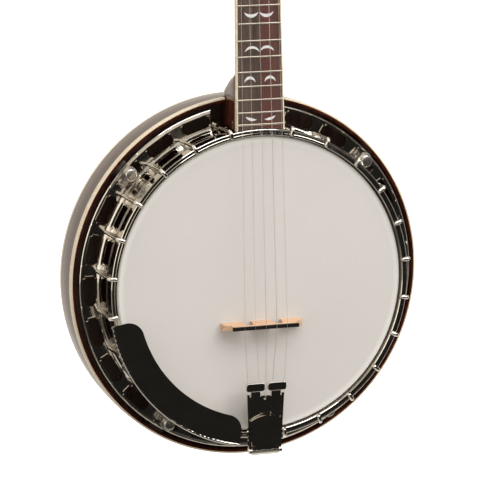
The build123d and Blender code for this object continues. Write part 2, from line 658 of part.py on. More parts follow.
def bridge_feet():
    """Maple bridge standing on three feet, thinner towards the top."""
    gap = extrude(RectangleRounded(8.9, 22.0, 2.6), 6, both=True)
    gaps = [Pos(side * 14.6, at(0), BRIDGE_Z) * gap for side in (-1, 1)]
    body = Polyline(
        (-39.5, 0), (39.5, 0), (39.5, -4.6), (37.6, -6.6), (32.4, -8.4), (31.4, -13.4), (-31.4, -13.4),
        (-32.4, -8.4), (-37.6, -6.6), (-39.5, -4.6), close=True,
    )
    slab = extrude(bridge_profile(body.edges()), 8.0)
    side = Plane(origin=(-45, at(0), BRIDGE_Z), x_dir=(0, 1, 0), z_dir=(1, 0, 0)) * make_face(
        Polyline((0, -3.6), (0, 3.6), (-2.5, 3.4), (-14, 1.7), (-14, -1.7), (-2.5, -3.4), close=True)
    )
    return common(slab.cut(*gaps), extrude(side, 90))


def bridge_saddle():
    body = Pos(0, at(-13.4 - 1.25), BRIDGE_Z) * Box(65.0, 2.5, 3.2)
    slots = [
        Pos((k - 2) * STRING_PITCH, at(-BRIDGE_H), BRIDGE_Z) * Box(0.7, 1.4, 6) for k in range(5)
    ]
    return body.cut(*slots)


def tail_depth(z):
    """Front surface of the tailpiece frame: it rises from the hoop towards the bridge."""
    return -11.5 - 1.6 * (z + 152.0) / 52.0


TAIL_X = (-18.0, -6.3, 0.0, 6.3, 18.0)       # string spacing at the tailpiece


def strings():
    """The outer four end in bores in the tailpiece's bars, the middle one on its centre hook."""
    radii = [0.13, 0.26, 0.20, 0.15, 0.13]
    order = [4, 3, 2, 1, 0]
    top = -BRIDGE_H + 0.45
    pieces = []
    for k in range(5):
        r = radii[order[k]] if k else 0.14
        r = max(r, 0.16)
        x_bridge = (k - 2) * STRING_PITCH
        end_z = -106.0 if k == 2 else BAR_Z + 0.5
        start = (TAIL_X[k], at(tail_depth(end_z) - 1.7), end_z)
        saddle = (x_bridge, at(top - r), BRIDGE_Z)
        route = [start, saddle]
        if k == 0:
            ends = [(-16.3, -1.15 - r, PIP_S), (-19.9, PEG_T - 2.55, PEG_S - 2.2)]
            route += [place_point(NECK, p) for p in ends]
        else:
            x = STRING_X[k]
            px, ps = TUNERS[{1: 0, 2: 2, 3: 3, 4: 1}[k]]
            side = -1 if px > 0 else 1
            route.append(place_point(NECK, (x, NUT_TOP_T + 0.55 - r, NUT_S + NUT_T / 2)))
            route.append(place_point(HEADSTOCK, (px + side * 2.75, -8.7, ps - 2.2)))
        bars = [tube_between(route[i], route[i + 1], r) for i in range(len(route) - 1)]
        balls = [Pos(*p) * Sphere(r * 1.001) for p in route[1:-1]]
        pieces.append(fused(bars + balls))
    return pieces


def place_point(frame, point):
    spot = (frame * Pos(*point)).position
    return (spot.X, spot.Y, spot.Z)


TAIL_HINGE_Z = -156.8
TAIL_HINGE_T = 1.4           # the hinge pin's centre in front of the frame plate
COVER_BOW_R = 76.0
BAR_Z = -94.7                # middle of the bars the strings run into


def tail_place():
    """Local frame of the tailpiece: x and z as the instrument, the plate's front at y = 0."""
    slope = math.degrees(math.atan(1.6 / 52.0))
    return Pos(0, at(tail_depth(-152.0)), -152.0) * Rot(slope, 0, 0) * Pos(0, 0, 152.0)


def tail_sheet(points, t0, t1):
    """A flat sheet from (x, z) corners, t0 to t1 in front of the frame plate."""
    face = Plane(origin=(0, -t0, 0), x_dir=(1, 0, 0), z_dir=(0, -1, 0)) * make_face(Polyline(*points, close=True))
    return extrude(face, t1 - t0)


def tail_bar(side):
    """Rounded bar across the top that the strings run into."""
    bar = extrude(RectangleRounded(18.4, 8.2, 2.6), 4.2)
    bar = fillet(bar.faces().sort_by(Axis.Z)[-1].edges(), 0.7)
    return Pos(side * 10.7, 0.8, BAR_Z) * Rot(90, 0, 0) * bar


def tailpiece_frame():
    plate = tail_sheet([(-18.3, -104.5), (18.3, -104.5), (16.2, -152.4), (-16.2, -152.4)], -1.6, 0)
    pieces = [tail_sheet([(-4.6, -103.5), (4.6, -103.5), (4.3, -150.0), (-4.3, -150.0)], -0.2, 0.9)]
    for side in (-1, 1):
        rail = [(18.4, -101.6), (16.0, -101.6), (14.0, -152.4), (16.2, -152.4)]
        prong = [(14.8, -96.0), (5.6, -96.0), (5.4, -146.0), (13.4, -146.0)]
        ear = block(side * 14.9 - 1.3, side * 14.9 + 1.3, -1.6, 1.6, -157.0, -149.0)
        pieces.append(tail_sheet([(side * x, z) for x, z in rail], -1.6, 1.3))
        pieces.append(tail_sheet([(side * x, z) for x, z in prong], -0.8, 1.8))
        pieces.append(ear.fuse(Pos(side * 14.9, -TAIL_HINGE_T, TAIL_HINGE_Z) * Rot(0, 90, 0) * Cylinder(2.6, 2.6)))
        pieces.append(tail_bar(side))
    pieces.append(Pos(0, -1.4, -107.6) * Rot(90, 0, 0) * Cylinder(1.2, 3.6))
    bore = Pos(0, -TAIL_HINGE_T, TAIL_HINGE_Z) * Rot(0, 90, 0) * Cylinder(1.3, 60)
    string_bores = [Pos(x, -1.7, BAR_Z + 2.5) * Cylinder(0.75, 6.0) for x in TAIL_X if x]
    return tail_place() * plate.fuse(*pieces).cut(bore, *string_bores)


def tailpiece_pin():
    return tail_place() * Pos(0, -TAIL_HINGE_T, TAIL_HINGE_Z) * Rot(0, 90, 0) * Cylinder(1.3, 32.4)


def cover_outline(drop=0.0):
    """Prism of the cover's outline: straight flaring sides and an arched upper edge."""
    edges = [
        Line((13.1, -153.0), (15.1, -126.8 - drop)),
        ThreePointArc((15.1, -126.8 - drop), (0, -121.6 - drop), (-15.1, -126.8 - drop)),
        Line((-15.1, -126.8 - drop), (-13.1, -153.0)), Line((-13.1, -153.0), (13.1, -153.0)),
    ]
    face = Plane(origin=(0, -1.5, 0), x_dir=(1, 0, 0), z_dir=(0, -1, 0)) * make_face(Wire(edges))
    return extrude(face, 6.0)


def cover_bow(t0, t1):
    """Bowed sheet whose crown lies t0 to t1 in front of the frame plate."""
    centre = COVER_BOW_R - t0
    outer = Pos(0, centre, -135) * Cylinder(COVER_BOW_R + t1 - t0, 60)
    return outer - Pos(0, centre, -135) * Cylinder(COVER_BOW_R, 60)


def tailpiece_cover():
    """Hinged cover: a gently bowed plate with a bead along its arched edge, curled round its pin."""
    plate = common(cover_outline(), cover_bow(3.4, 4.6))
    bead = common(cover_outline().cut(cover_outline(1.9)), cover_bow(3.4, 5.5))
    curl = Pos(0, -TAIL_HINGE_T, TAIL_HINGE_Z) * Rot(0, 90, 0) * Cylinder(2.9, 26.4)
    link = block(-13.0, 13.0, -3.9, -2.7, -156.0, -151.5)
    toe = Polyline((-4.3, -155.4), (-4.5, -156.4), (-1.4, -160.6), (0.6, -160.2), (0.6, -158.0), close=True)
    toe = Pos(-13.2, 0, 0) * extrude(Plane.YZ * make_face(toe), 26.4)
    bore = Pos(0, -TAIL_HINGE_T, TAIL_HINGE_Z) * Rot(0, 90, 0) * Cylinder(1.3 + RUN_GAP, 60)
    return tail_place() * plate.fuse(bead, curl, link, toe).cut(bore)


def tailpiece_hanger():
    """Strap from the tailpiece's base, back outside the hoop and under to the rim."""
    strap = block(-9.5, 9.5, at(-9.4), at(50.5), -149.9, -147.9)
    fold = block(-9.5, 9.5, at(48.5), at(50.5), -149.9, -140.7)
    foot = block(-9.5, 9.5, at(48.5), at(62.0), -143.0, -140.7)
    shelf = block(-9.5, 9.5, at(-9.6), at(-7.8), -149.9, -140.0)
    link = block(-9.5, 9.5, at(-9.9), at(-8.0), -149.0, -142.0)
    hole = Pos(0, at(56.5), -140) * Cylinder(LAG_R, 20)
    return strap.fuse(fold, foot, shelf, link).cut(hole, pot_rim_clear())


def pot_rim_clear():
    return annulus(0, RIM_LEDGE_R, 44, 68)


def coordinator_rods():
    """Two rods across the pot, from the heel bolts to the tail."""
    return [Pos(0, at(d), 0) * Cylinder(ROD_R, 2 * RIM_IN - 16.0) for d in ROD_DEPTHS]


def coordinator_fasteners():
    pieces = []
    for d in ROD_DEPTHS:
        reach = RIM_IN - 8.0
        lag = Pos(0, at(d), (reach + 164.9) / 2) * Cylinder(LAG_R, 164.9 - reach)
        tail = 145.2 if d == ROD_DEPTHS[1] else 139.5
        bolt = Pos(0, at(d), -(reach + tail) / 2) * Cylinder(LAG_R, tail - reach)
        nut = extrude(RegularPolygon(3.9, 6, major_radius=False), 4.4)
        top_nut = Pos(0, at(d), RIM_IN - 6.0) * nut
        low_nut = Pos(0, at(d), -RIM_IN + 1.6) * nut
        pieces.append(lag.fuse(top_nut.cut(annulus(RIM_IN - 0.02, 200, 30, 70))))
        pieces.append(bolt.fuse(low_nut.cut(annulus(RIM_IN - 0.02, 200, 30, 70))))
    end_nut = extrude(RegularPolygon(4.2, 6, major_radius=False), 3.2)
    pieces[-1] = pieces[-1].fuse(Pos(0, at(ROD_DEPTHS[1]), -146.2) * end_nut)
    return pieces


ARM_FROM, ARM_TO = 100.3, 170.0
ARM_IN, ARM_OUT = 124.5, 152.5
ARM_TOP, ARM_LOW = -14.6, -13.0


def arm_edge_place(angle, radius):
    a = math.radians(-angle)
    return (radius * math.sin(a), radius * math.cos(a))


def armrest_end(angle, inward):
    """One end of the plate, from its sharp outer corner to its widely rounded inner corner."""
    p = arm_edge_place
    return [
        ThreePointArc(
            p(angle + inward * 0.6, ARM_OUT), p(angle + inward * 0.15, ARM_OUT - 0.4), p(angle, ARM_OUT - 1.5)
        ),
        Line(p(angle, ARM_OUT - 1.5), p(angle, ARM_IN + 13.0)),
        ThreePointArc(
            p(angle, ARM_IN + 13.0), p(angle + inward * 2.0, ARM_IN + 3.8), p(angle + inward * 7.0, ARM_IN)
        ),
    ]


def armrest_plate():
    """Curved plate over the hoop's edge, with a rolled bead along its outer edge."""
    a0, a1 = ARM_FROM, ARM_TO
    mid = (a0 + a1) / 2
    p = arm_edge_place
    edges = armrest_end(a0, 1) + armrest_end(a1, -1)
    edges.append(ThreePointArc(p(a0 + 0.6, ARM_OUT), p(mid, ARM_OUT), p(a1 - 0.6, ARM_OUT)))
    edges.append(ThreePointArc(p(a0 + 7.0, ARM_IN), p(mid, ARM_IN), p(a1 - 7.0, ARM_IN)))
    face = Plane(origin=(0, at(ARM_LOW), 0), x_dir=(1, 0, 0), z_dir=(0, -1, 0)) * make_face(Wire(edges))
    plate = extrude(face, ARM_LOW - ARM_TOP)
    bead = Pos(0, at(ARM_TOP + 0.6), 0) * Rot(90, 0, 0) * Torus(ARM_OUT - 1.35, 1.3)
    wedge = extrude(face, 6, both=True)
    return plate.fuse(common(bead, wedge))


def armrest_bracket(angle):
    """Clamp from under the plate, outside the hoop, with a jaw below it and a tightening screw."""
    top = block(-6, 6, ARM_LOW, ARM_LOW + 1.6, 131, 149.4)
    web = block(-6, 6, ARM_LOW, 13.6, 147.4, 149.4)
    jaw = block(-6, 6, HOOP_LOW + 0.2, 13.6, 144.0, 149.4)
    prop = rod_y(3.2, ARM_LOW, HOOP_TOP)
    screw = Pos(0, 0, 146.4) * rod_y(2.0, 12.0, 17.5)
    knob = Pos(0, 0, 146.4) * rod_y(3.8, 16.0, 20.0)
    shape = top.fuse(web, jaw, Pos(0, 0, 144.0) * prop, screw, knob)
    return around(angle, 0, 0) * shape


def main():
    save("drum_head", head_membrane())
    save("head_collar", head_collar())
    save("flesh_hoop", flesh_hoop())
    save("tension_hoop", tension_hoop())
    save("tone_ring", tone_ring())
    holes = [Pos(0, at(d), sign * 130) * Cylinder(LAG_R, 40) for d in ROD_DEPTHS for sign in (-1, 1)]
    save("rim", rim_shell().cut(*holes))
    save("flange", flange())
    save("bracket_hooks", *bracket_hooks())
    save("bracket_nuts", *bracket_nuts())
    save("resonator_wall", resonator_wall())
    save("resonator_front_binding", front_binding())
    save("resonator_back_binding", back_binding())
    save("resonator_back", resonator_back())
    save("resonator_lugs", *[resonator_lug(a) for a in THUMB_ANGLES])
    save("lug_screws", *[place * lug_screw() for place in lug_screw_places()])
    save("thumbscrew_brackets", *[thumb_bracket(a) for a in THUMB_ANGLES])
    for number, angle in enumerate(THUMB_ANGLES, 1):
        save(f"thumbscrew_{number}", thumbscrew(angle))
    save("neck", neck())
    save("heel_cap", heel_cap())
    save("fretboard", fretboard())
    save("fretboard_binding", fretboard_binding())
    save("frets", *frets())
    save("inlays", *inlays())
    save("string_nut", string_nut())
    save("fifth_string_nut", fifth_string_nut())
    save("headstock_veneer", headstock_veneer())
    save("truss_rod", truss_rod())
    save("truss_rod_cover", truss_rod_cover())
    save("tuner_bushings", *[tuner_place(x, s) * tuner_bushing() for x, s in TUNERS])
    save("tuner_housings", *[tuner_place(x, s) * tuner_housing() for x, s in TUNERS])
    for number, (x, s) in enumerate(TUNERS, 1):
        turns = [tuner_place(x, s) * turn for turn in string_turns()]
        save(f"tuner_post_{number}", tuner_place(x, s) * tuner_post(), *turns)
        save(f"tuner_button_{number}", tuner_place(x, s) * tuner_button())
    save("fifth_peg", fifth_peg())
    save("bridge_feet", bridge_feet())
    save("bridge_saddle", bridge_saddle())
    save("strings", *strings())
    save("tailpiece_frame", tailpiece_frame())
    save("tailpiece_pin", tailpiece_pin())
    save("tailpiece_cover", tailpiece_cover())
    save("tailpiece_hanger", tailpiece_hanger())
    save("coordinator_rods", *coordinator_rods())
    save("coordinator_fasteners", *coordinator_fasteners())
    save("armrest_plate", armrest_plate())
    save("armrest_brackets", armrest_bracket(-120.3), armrest_bracket(-163.6))


main()
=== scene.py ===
"""Looks of the five-string resonator banjo: materials, light and camera. Units are metres."""
import math

import bpy
from mathutils import Matrix, Vector


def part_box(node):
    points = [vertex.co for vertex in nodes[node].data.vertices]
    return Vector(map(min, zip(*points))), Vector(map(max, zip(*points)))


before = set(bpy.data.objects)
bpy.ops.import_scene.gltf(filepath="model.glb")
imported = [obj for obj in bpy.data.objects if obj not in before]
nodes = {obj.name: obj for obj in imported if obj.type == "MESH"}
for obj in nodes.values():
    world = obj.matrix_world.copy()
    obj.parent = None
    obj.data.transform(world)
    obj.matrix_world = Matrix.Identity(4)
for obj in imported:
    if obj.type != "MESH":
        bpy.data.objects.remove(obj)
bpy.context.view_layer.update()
scene = bpy.context.scene


# ---- node helpers --------------------------------------------------------------------------
class Builder:
    """Small helper that adds and links shader nodes."""

    def __init__(self, name):
        self.material = bpy.data.materials.new(name)
        self.material.use_nodes = True
        self.tree = self.material.node_tree
        self.tree.nodes.clear()
        self.out = self.tree.nodes.new("ShaderNodeOutputMaterial")
        self.shader = self.tree.nodes.new("ShaderNodeBsdfPrincipled")
        self.tree.links.new(self.shader.outputs[0], self.out.inputs[0])
        self.coords = self.tree.nodes.new("ShaderNodeTexCoord").outputs["Object"]

    def put(self, socket, value):
        """Link a socket to an input, or store a plain value or colour in it."""
        if isinstance(value, bpy.types.NodeSocket):
            self.tree.links.new(value, socket)
        elif isinstance(value, tuple) and len(value) == 3 and socket.type == "RGBA":
            socket.default_value = (*value, 1.0)
        else:
            socket.default_value = value

    def set(self, **values):
        """Fill inputs of the surface shader, named with underscores for spaces."""
        for key, value in values.items():
            self.put(self.shader.inputs[key.replace("_", " ")], value)
        return self

    def math(self, kind, a, b=0.0):
        node = self.tree.nodes.new("ShaderNodeMath")
        node.operation = kind
        self.put(node.inputs[0], a)
        self.put(node.inputs[1], b)
        return node.outputs[0]

    def stretch(self, scale):
        node = self.tree.nodes.new("ShaderNodeMapping")
        self.put(node.inputs["Vector"], self.coords)
        node.inputs["Scale"].default_value = scale
        return node.outputs[0]

    def noise(self, vector, scale, detail=4.0, rough=0.55, twist=0.0):
        node = self.tree.nodes.new("ShaderNodeTexNoise")
        self.put(node.inputs["Vector"], vector)
        node.inputs["Scale"].default_value = scale
        node.inputs["Detail"].default_value = detail
        node.inputs["Roughness"].default_value = rough
        node.inputs["Distortion"].default_value = twist
        return node.outputs["Fac"]

    def cells(self, vector, scale):
        node = self.tree.nodes.new("ShaderNodeTexVoronoi")
        self.put(node.inputs["Vector"], vector)
        node.inputs["Scale"].default_value = scale
        return node.outputs["Distance"], node.outputs["Color"]

    def ramp(self, value, *stops):
        node = self.tree.nodes.new("ShaderNodeValToRGB")
        self.put(node.inputs[0], value)
        band = node.color_ramp
        while len(band.elements) < len(stops):
            band.elements.new(0.5)
        for element, (place, colour) in zip(band.elements, stops):
            element.position = place
            element.color = (*colour, 1.0)
        return node.outputs[0]

    def spread(self, value, low, high, to_low, to_high):
        node = self.tree.nodes.new("ShaderNodeMapRange")
        self.put(node.inputs["Value"], value)
        node.inputs["From Min"].default_value, node.inputs["From Max"].default_value = low, high
        node.inputs["To Min"].default_value, node.inputs["To Max"].default_value = to_low, to_high
        return node.outputs[0]

    def mix(self, factor, a, b, blend="MIX"):
        node = self.tree.nodes.new("ShaderNodeMix")
        node.data_type, node.blend_type = "RGBA", blend
        self.put(node.inputs[0], factor)
        self.put(node.inputs[6], a)
        self.put(node.inputs[7], b)
        return node.outputs[2]

    def bump(self, height, strength, distance=0.0002):
        node = self.tree.nodes.new("ShaderNodeBump")
        node.inputs["Strength"].default_value = strength
        node.inputs["Distance"].default_value = distance
        self.put(node.inputs["Height"], height)
        self.put(self.shader.inputs["Normal"], node.outputs[0])
        return self

    def split(self, vector):
        node = self.tree.nodes.new("ShaderNodeSeparateXYZ")
        self.put(node.inputs[0], vector)
        return node.outputs

    def pot_radius(self):
        """Distance from the pot's axis."""
        axes = self.split(self.coords)
        across = self.math("MULTIPLY", axes[0], axes[0])
        upward = self.math("MULTIPLY", axes[2], axes[2])
        return self.math("SQRT", self.math("ADD", across, upward))


# ---- materials -----------------------------------------------------------------------------
def metal(name, colour, dark, rough_low, rough_high, brushed=(1, 1, 1), scratch=0.03):
    """Plated or bare metal, clouded between two tones, with fine scratches along one direction."""
    b = Builder(name)
    cloud = b.noise(b.coords, 38.0, 5.0, 0.6)
    fine = b.noise(b.stretch(brushed), 900.0, 2.0, 0.6)
    b.set(Base_Color=b.ramp(cloud, (0.3, dark), (0.7, colour)), Metallic=1.0)
    b.set(Roughness=b.spread(cloud, 0.3, 0.75, rough_low, rough_high))
    return b.bump(fine, scratch, 0.00005).material


def wood(name, light, mid, dark, grain, coat, rough, pores=0.2, shine=0.5):
    """Grained wood in three tones, under lacquer where coat is more than 0."""
    b = Builder(name)
    along = b.stretch(grain)
    rings = b.noise(along, 1.6, 6.0, 0.62, 1.2)
    streak = b.noise(b.stretch((grain[0] * 9, grain[1] * 9, grain[2] * 3)), 1.3, 3.0, 0.6)
    base = b.ramp(rings, (0.30, dark), (0.5, mid), (0.72, light))
    tint = b.ramp(streak, (0.30, (0.62, 0.58, 0.55)), (0.62, (1.0, 1.0, 1.0)))
    b.set(Base_Color=b.mix(0.75, base, tint, "MULTIPLY"))
    b.set(Roughness=b.spread(streak, 0.3, 0.7, rough + 0.08, rough))
    b.set(Coat_Weight=coat, Coat_Roughness=0.12, Coat_IOR=1.5, Specular_IOR_Level=shine)
    return b.bump(streak, pores, 0.0001).material


def plastic(name, colour, shade, rough, lines, coat):
    """Moulded plastic or bone with a faint clouding and texture."""
    b = Builder(name)
    cloud = b.noise(b.coords, 120.0, 4.0)
    b.set(Base_Color=b.ramp(cloud, (0.3, shade), (0.7, colour)))
    b.set(Roughness=b.spread(cloud, 0.3, 0.7, rough, rough + 0.1))
    b.set(Coat_Weight=coat, Coat_Roughness=0.08)
    return b.bump(b.noise(b.coords, 1500.0, 2.0), 0.05 + lines, 0.00004).material


def drum_film():
    """Coated film: faintly mottled off-white, a little warmer in a ring near the edge."""
    b = Builder("coated_film")
    cloud = b.noise(b.coords, 9.0, 4.0, 0.5)
    grit = b.noise(b.coords, 1300.0, 3.0, 0.6)
    edge = b.spread(b.pot_radius(), 0.1325, 0.1365, 0.0, 1.0)
    middle = b.ramp(cloud, (0.25, (0.735, 0.705, 0.675)), (0.75, (0.765, 0.738, 0.708)))
    colour = b.mix(edge, middle, (0.87, 0.85, 0.81))
    speck = b.ramp(grit, (0.35, (0.95, 0.95, 0.95)), (0.6, (1.0, 1.0, 1.0)))
    b.set(Base_Color=b.mix(0.8, colour, speck, "MULTIPLY"))
    b.set(Roughness=b.spread(grit, 0.3, 0.7, 0.5, 0.66))
    return b.bump(grit, 0.2, 0.00006).material


def fingerboard():
    """Rosewood: grey-brown with open lengthwise pores and a redder strip on the treble side."""
    b = Builder("fingerboard_wood")
    grain = b.noise(b.stretch((170, 170, 5)), 1.6, 6.0, 0.65, 1.0)
    pores = b.noise(b.stretch((1500, 1500, 22)), 1.2, 3.0, 0.6)
    base = b.ramp(
        grain, (0.30, (0.052, 0.030, 0.022)), (0.5, (0.105, 0.068, 0.052)), (0.72, (0.165, 0.112, 0.088)))
    across = b.split(b.coords)[0]
    drift = b.spread(b.noise(b.stretch((8, 8, 2)), 2.0), 0.3, 0.7, -0.004, 0.004)
    wander = b.math("ADD", across, drift)
    left_edge = b.spread(wander, -0.001, 0.005, 0.0, 1.0)
    right_edge = b.spread(wander, 0.011, 0.022, 1.0, 0.35)
    strip = b.math("MULTIPLY", left_edge, right_edge)
    redder = b.mix(b.math("MULTIPLY", strip, 0.75), base, (0.150, 0.038, 0.028))
    tint = b.ramp(pores, (0.34, (0.55, 0.50, 0.46)), (0.56, (1.0, 1.0, 1.0)))
    b.set(Base_Color=b.mix(0.8, redder, tint, "MULTIPLY"))
    b.set(Roughness=b.spread(pores, 0.3, 0.7, 0.62, 0.5))
    return b.bump(pores, 0.4, 0.0001).material


def resonator_plate():
    """Pressed back: lacquered dark outside, plain lighter veneer inside."""
    b = Builder("resonator_plate")
    grain = b.noise(b.stretch((40, 40, 5)), 1.6, 6.0, 0.62, 1.2)
    streak = b.noise(b.stretch((400, 400, 16)), 1.3, 3.0, 0.6)
    outside = b.ramp(
        grain, (0.30, (0.03, 0.007, 0.004)), (0.5, (0.085, 0.018, 0.009)), (0.72, (0.155, 0.035, 0.016)))
    inside = b.ramp(
        grain, (0.30, (0.12, 0.075, 0.058)), (0.5, (0.17, 0.11, 0.085)), (0.72, (0.22, 0.15, 0.12)))
    inner = b.spread(b.split(b.coords)[1], -0.0041, -0.0040, 1.0, 0.0)
    tint = b.ramp(streak, (0.30, (0.66, 0.62, 0.6)), (0.62, (1.0, 1.0, 1.0)))
    b.set(Base_Color=b.mix(0.7, b.mix(inner, outside, inside), tint, "MULTIPLY"))
    b.set(Roughness=b.mix(inner, b.spread(streak, 0.3, 0.7, 0.34, 0.28), (0.6, 0.6, 0.6)))
    b.set(Coat_Weight=b.math("SUBTRACT", 1.0, inner), Coat_Roughness=0.1, Specular_IOR_Level=0.1)
    return b.bump(streak, 0.08, 0.0001).material


def resonator_side():
    """Resonator wall: dark red lacquer on its front lip; outside, the same dark wood is painted lighter and
    browner as a painted sheen of the lacquer.
    """
    b = Builder("resonator_side")
    grain = b.noise(b.stretch((26, 60, 26)), 1.6, 6.0, 0.62, 1.2)
    streak = b.noise(b.stretch((234, 540, 78)), 1.3, 3.0, 0.6)
    lip = b.ramp(
        grain, (0.30, (0.02, 0.005, 0.003)), (0.5, (0.055, 0.011, 0.007)), (0.72, (0.10, 0.02, 0.011)))
    # Painted sheen: the outside tone is the dark wood made lighter and browner than the lip, standing in for
    # the lacquer's glancing reflection.
    outside = b.ramp(
        grain, (0.30, (0.085, 0.052, 0.034)), (0.5, (0.115, 0.070, 0.046)), (0.72, (0.15, 0.09, 0.06)))
    outside_sheen_mask = b.spread(b.pot_radius(), 0.1706, 0.1709, 0.0, 1.0)
    tint = b.ramp(streak, (0.30, (0.7, 0.66, 0.63)), (0.62, (1.0, 1.0, 1.0)))
    b.set(Base_Color=b.mix(0.75, b.mix(outside_sheen_mask, lip, outside), tint, "MULTIPLY"))
    b.set(Roughness=b.spread(streak, 0.3, 0.7, 0.38, 0.3))
    b.set(Coat_Weight=1.0, Coat_Roughness=0.12, Specular_IOR_Level=0.0)
    return b.bump(streak, 0.08, 0.0001).material


def pearl():
    """Shell inlay: pale, with soft blue and pink flow lines."""
    b = Builder("pearl")
    _, colour = b.cells(b.stretch((1, 1, 1)), 260.0)
    flow = b.noise(b.coords, 300.0, 4.0, 0.6, 2.0)
    tone = b.ramp(flow, (0.3, (0.62, 0.70, 0.72)), (0.5, (0.90, 0.88, 0.86)), (0.7, (0.95, 0.90, 0.93)))
    b.set(Base_Color=b.mix(0.06, tone, colour), Roughness=b.spread(flow, 0.3, 0.7, 0.14, 0.26))
    b.set(Coat_Weight=0.6, Coat_Roughness=0.06)
    return b.material


def pearloid():
    """Cream plastic with pearly flakes, for the tuner buttons."""
    b = Builder("pearloid")
    distance, colour = b.cells(b.stretch((1, 1, 1)), 420.0)
    tone = b.ramp(distance, (0.0, (0.95, 0.91, 0.82)), (0.6, (0.72, 0.67, 0.55)))
    b.set(Base_Color=b.mix(0.08, tone, colour), Roughness=b.spread(distance, 0.0, 0.6, 0.12, 0.24))
    b.set(Coat_Weight=0.5, Coat_Roughness=0.05)
    return b.material


NICKEL = metal("nickel_plate", (0.83, 0.80, 0.745), (0.76, 0.73, 0.67), 0.045, 0.12)
SATIN_NICKEL = metal("satin_nickel", (0.78, 0.76, 0.71), (0.68, 0.66, 0.62), 0.24, 0.34, (1, 1, 6), 0.05)
STEEL = metal("plain_steel", (0.62, 0.61, 0.59), (0.48, 0.47, 0.46), 0.25, 0.4, (1, 8, 1), 0.1)
WIRE = metal("string_wire", (0.92, 0.90, 0.87), (0.84, 0.82, 0.79), 0.42, 0.5, (1, 1, 30), 0.1)
RIM_WOOD = wood("rim_maple", (0.62, 0.44, 0.27), (0.48, 0.31, 0.17), (0.34, 0.20, 0.10), (18, 500, 18),
                0.4, 0.35)
NECK_WOOD = wood("neck_wood", (0.155, 0.05, 0.025), (0.09, 0.026, 0.013), (0.035, 0.01, 0.006), (60, 60, 5),
                 1.0, 0.3, 0.08, 0.0)
ROSEWOOD, RESONATOR_PLATE, RESONATOR_SIDE = fingerboard(), resonator_plate(), resonator_side()
EBONY = wood("saddle_ebony", (0.022, 0.019, 0.016), (0.012, 0.010, 0.009), (0.005, 0.004, 0.004), (6, 150, 150),
             0.0, 0.5, 0.3, 0.2)
BRIDGE_MAPLE = wood("bridge_maple", (0.86, 0.62, 0.43), (0.78, 0.50, 0.31), (0.60, 0.35, 0.20), (9, 140, 140),
                    0.1, 0.45, 0.25)
FRET_WIRE = metal("fret_wire", (0.66, 0.60, 0.50), (0.52, 0.46, 0.38), 0.3, 0.42, (8, 1, 1), 0.05)
IVORY = plastic("ivory_binding", (0.90, 0.78, 0.58), (0.82, 0.69, 0.49), 0.22, 0.05, 0.5)
BONE = plastic("polished_bone", (0.86, 0.80, 0.66), (0.74, 0.66, 0.5), 0.3, 0.05, 0.2)
BLACK_GLOSS = plastic("black_gloss", (0.012, 0.011, 0.011), (0.007, 0.007, 0.007), 0.12, 0.0, 0.8)
FILM, PEARL, PEARLOID = drum_film(), pearl(), pearloid()

LOOKS = {
    FILM: ["drum_head", "head_collar"],
    NICKEL: ["tension_hoop", "flange", "bracket_hooks", "bracket_nuts", "tailpiece_cover", "tailpiece_frame",
             "tuner_bushings", "tuner_housings", "fifth_peg", "armrest_plate"],
    SATIN_NICKEL: ["thumbscrew_1", "thumbscrew_2", "thumbscrew_3", "thumbscrew_4", "thumbscrew_brackets",
                   "tailpiece_hanger", "tailpiece_pin", "tone_ring", "armrest_brackets",
                   "tuner_post_1", "tuner_post_2", "tuner_post_3", "tuner_post_4"],
    STEEL: ["flesh_hoop", "coordinator_rods", "coordinator_fasteners", "resonator_lugs", "lug_screws",
            "truss_rod"],
    WIRE: ["strings"],
    RIM_WOOD: ["rim"],
    RESONATOR_SIDE: ["resonator_wall"],
    RESONATOR_PLATE: ["resonator_back"],
    NECK_WOOD: ["neck"],
    ROSEWOOD: ["fretboard"],
    EBONY: ["bridge_saddle"],
    BRIDGE_MAPLE: ["bridge_feet"],
    IVORY: ["resonator_front_binding", "resonator_back_binding", "fretboard_binding", "heel_cap"],
    BONE: ["string_nut", "fifth_string_nut"],
    FRET_WIRE: ["frets"],
    BLACK_GLOSS: ["headstock_veneer", "truss_rod_cover"],
    PEARL: ["inlays"],
    PEARLOID: ["tuner_button_1", "tuner_button_2", "tuner_button_3", "tuner_button_4"],
}
for look, names in LOOKS.items():
    for name in names:
        for material_slot in nodes[name].material_slots:
            material_slot.material = look


# ---- floor, light, camera ------------------------------------------------------------------
# Brightness of the surroundings that the metal and lacquer mirror.
BACKDROP = 0.80
REFLECTOR = 0.75
UNDERSIDE = 0.50
OVERHEAD = 0.60
LEFT_WALL = 0.40
DARK_FRONT = 0.013

# Brightness of the soft light on matt surfaces, from straight below and straight above.
SOFT_LOW = 0.42
SOFT_HIGH = 0.66

FLOOR_Z = -0.45
CAMERA_AZIMUTH, CAMERA_ELEVATION = 19.33, 10.98
CAMERA_DISTANCE = 2.993
CAMERA_LENS = 240.6
AIM_LEFT, AIM_UP = 0.01934, 0.04126


def white_floor():
    """Plain glowing floor that neither lights nor shows in the metal."""
    mesh = bpy.data.meshes.new("studio_floor")
    corners = [(-20, -0.9, FLOOR_Z), (20, -0.9, FLOOR_Z), (20, 40, FLOOR_Z), (-20, 40, FLOOR_Z)]
    mesh.from_pydata(corners, [], [(0, 1, 2, 3)])
    floor = bpy.data.objects.new("studio_floor", mesh)
    scene.collection.objects.link(floor)
    b = Builder("studio_paper")
    b.set(Base_Color=(0.9, 0.9, 0.9), Roughness=0.9)
    b.set(Emission_Color=(1.0, 1.0, 1.0), Emission_Strength=1.0)
    mesh.materials.append(b.material)
    floor.visible_glossy = False
    floor.visible_diffuse = False


